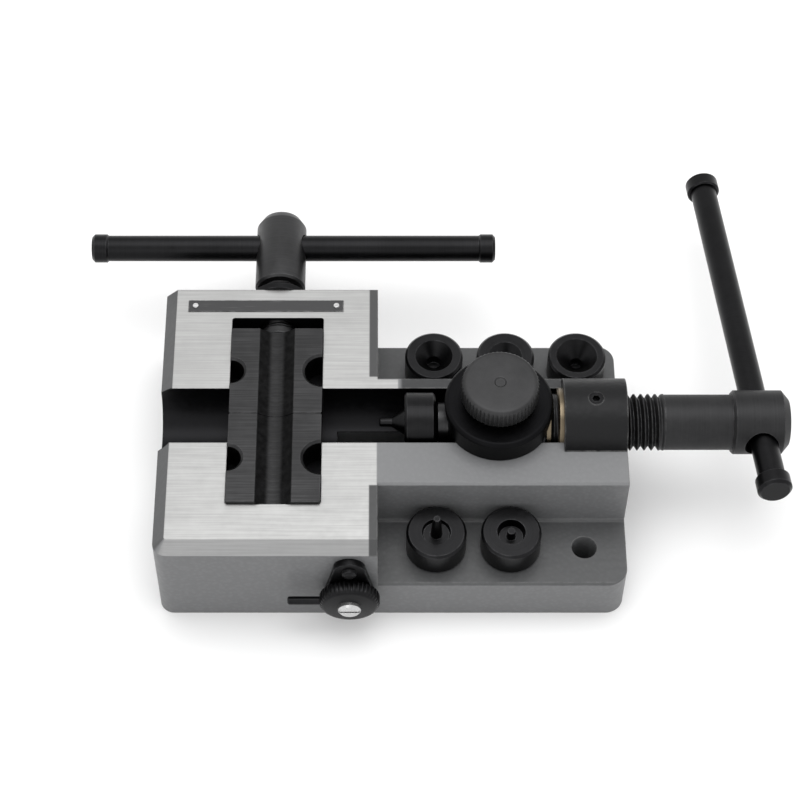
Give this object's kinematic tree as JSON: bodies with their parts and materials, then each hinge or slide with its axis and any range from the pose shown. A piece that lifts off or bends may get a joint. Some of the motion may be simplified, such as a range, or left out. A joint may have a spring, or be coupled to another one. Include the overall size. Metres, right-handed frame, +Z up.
{
  "type": "flaring tool",
  "caption": "Bench flaring tool: cast bed with a clamp screw closing split pipe dies, a press screw driving a ram with its punch, a pipe stop, and spare punches standing in the decks",
  "frame": {"origin": "centre of the bed's length on the flat underside, straight below the press line", "axes": "+X along the press line from the pipe's entry towards the press handle, +Y towards the clamp handle, +Z up"},
  "size_m": [0.251, 0.183, 0.0655],
  "materials": {
    "painted_casting": "grey hammered enamel on cast iron, the upper faces ground bright",
    "die_steel": "hardened tool steel, dark ground faces",
    "ram_steel": "turned steel with a dark oiled oxide skin",
    "punch_steel": "turned and hardened tool steel, blackened, bright on the forming face",
    "black_steel": "black oxide over turned steel",
    "knob_steel": "turned steel, dull grey",
    "bright_steel": "bright turned steel",
    "bronze": "machined bearing bronze",
    "plate_black": "blank plate, satin black paint with a bare edge"
  },
  "bodies": {
    "body": {"bed": "painted_casting", "clamp_nut": "black_steel", "press_nut": "bronze", "nut_grub_screw": "black_steel", "stop_plate": "black_steel", "stop_plate_screw": "black_steel", "name_plate": "plate_black", "name_plate_rivets": "bright_steel"},
    "front_die": {"front_die": "die_steel"},
    "rear_die": {"rear_die": "die_steel"},
    "clamp_pad": {"clamp_pad": "die_steel", "clamp_pad_pin": "bright_steel"},
    "clamp_screw": {"clamp_screw": "black_steel"},
    "clamp_bar": {"clamp_bar": "black_steel", "clamp_bar_caps": "black_steel"},
    "ram": {"ram": "ram_steel", "ram_saddle": "ram_steel", "plunger_sleeve": "bright_steel", "coupling_spring": "bright_steel", "thrust_washer": "bronze"},
    "coupling_knob": {"coupling_knob": "knob_steel", "coupling_pin": "bright_steel"},
    "press_screw": {"press_screw": "black_steel"},
    "press_bar": {"press_bar": "black_steel", "press_bar_caps": "black_steel"},
    "punch_in_ram": {"punch_in_ram": "punch_steel"},
    "front_punch_left": {"front_punch_left": "punch_steel"},
    "front_punch_middle": {"front_punch_middle": "punch_steel"},
    "rear_punch_left": {"rear_punch_left": "punch_steel"},
    "rear_punch_middle": {"rear_punch_middle": "punch_steel"},
    "rear_punch_right": {"rear_punch_right": "punch_steel"},
    "pipe_stop": {"stop_shaft": "bright_steel", "stop_flag": "die_steel", "stop_flag_pin": "bright_steel", "stop_knob": "black_steel", "stop_lever": "black_steel", "stop_knob_screw": "bright_steel"}
  },
  "joints": [
    {"name": "clamp_slide", "type": "slide", "parent": "body", "child": "clamp_pad", "axis": [0, 1, 0], "range_m": [0, 0.0055]},
    {"name": "clamp_turn", "type": "hinge", "parent": "clamp_pad", "child": "clamp_screw", "pos_m": [-0.041, 0.06, 0.0355], "axis": [0, 1, 0], "range_deg": [0, 990]},
    {"name": "clamp_bar_slide", "type": "slide", "parent": "clamp_screw", "child": "clamp_bar", "axis": [1, 0, 0], "range_m": [-0.064, 0.055]},
    {"name": "rear_die_slide", "type": "slide", "parent": "body", "child": "rear_die", "axis": [0, 1, 0], "range_m": [0, 0.0055]},
    {"name": "front_die_lift", "type": "slide", "parent": "body", "child": "front_die", "axis": [0, 0, 1], "range_m": [0, 0.02]},
    {"name": "ram_slide", "type": "slide", "parent": "body", "child": "ram", "axis": [1, 0, 0], "range_m": [-0.026, 0.002]},
    {"name": "press_turn", "type": "hinge", "parent": "ram", "child": "press_screw", "pos_m": [0, 0, 0.04], "axis": [1, 0, 0], "range_deg": [-3744, 288]},
    {"name": "press_bar_slide", "type": "slide", "parent": "press_screw", "child": "press_bar", "axis": [-0.0872, 0.9907, -0.1041], "range_m": [-0.101, 0.013]},
    {"name": "punch_pull", "type": "slide", "parent": "ram", "child": "punch_in_ram", "axis": [-1, 0, 0], "range_m": [0, 0.008]},
    {"name": "coupling_knob_lift", "type": "slide", "parent": "ram", "child": "coupling_knob", "axis": [0, 0, 1], "range_m": [0, 0.003], "stiffness_N_per_m": 600, "deforming": ["coupling_spring"]},
    {"name": "stop_turn", "type": "hinge", "parent": "body", "child": "pipe_stop", "pos_m": [-0.01475, 0, 0.0185], "axis": [0, -1, 0], "range_deg": [0, 90]},
    {"name": "front_punch_left_lift", "type": "slide", "parent": "body", "child": "front_punch_left", "axis": [0, 0, 1], "range_m": [0, 0.018]},
    {"name": "front_punch_middle_lift", "type": "slide", "parent": "body", "child": "front_punch_middle", "axis": [0, 0, 1], "range_m": [0, 0.018]},
    {"name": "rear_punch_left_lift", "type": "slide", "parent": "body", "child": "rear_punch_left", "axis": [0, 0, 1], "range_m": [0, 0.018]},
    {"name": "rear_punch_middle_lift", "type": "slide", "parent": "body", "child": "rear_punch_middle", "axis": [0, 0, 1], "range_m": [0, 0.018]},
    {"name": "rear_punch_right_lift", "type": "slide", "parent": "body", "child": "rear_punch_right", "axis": [0, 0, 1], "range_m": [0, 0.018]}
  ],
  "couplings": [
    {"joint": "clamp_turn", "follows": "clamp_slide", "rad_per_m": 3141.6},
    {"joint": "rear_die_slide", "follows": "clamp_slide", "ratio": 1},
    {"joint": "press_turn", "follows": "ram_slide", "rad_per_m": 2513.3}
  ]
}
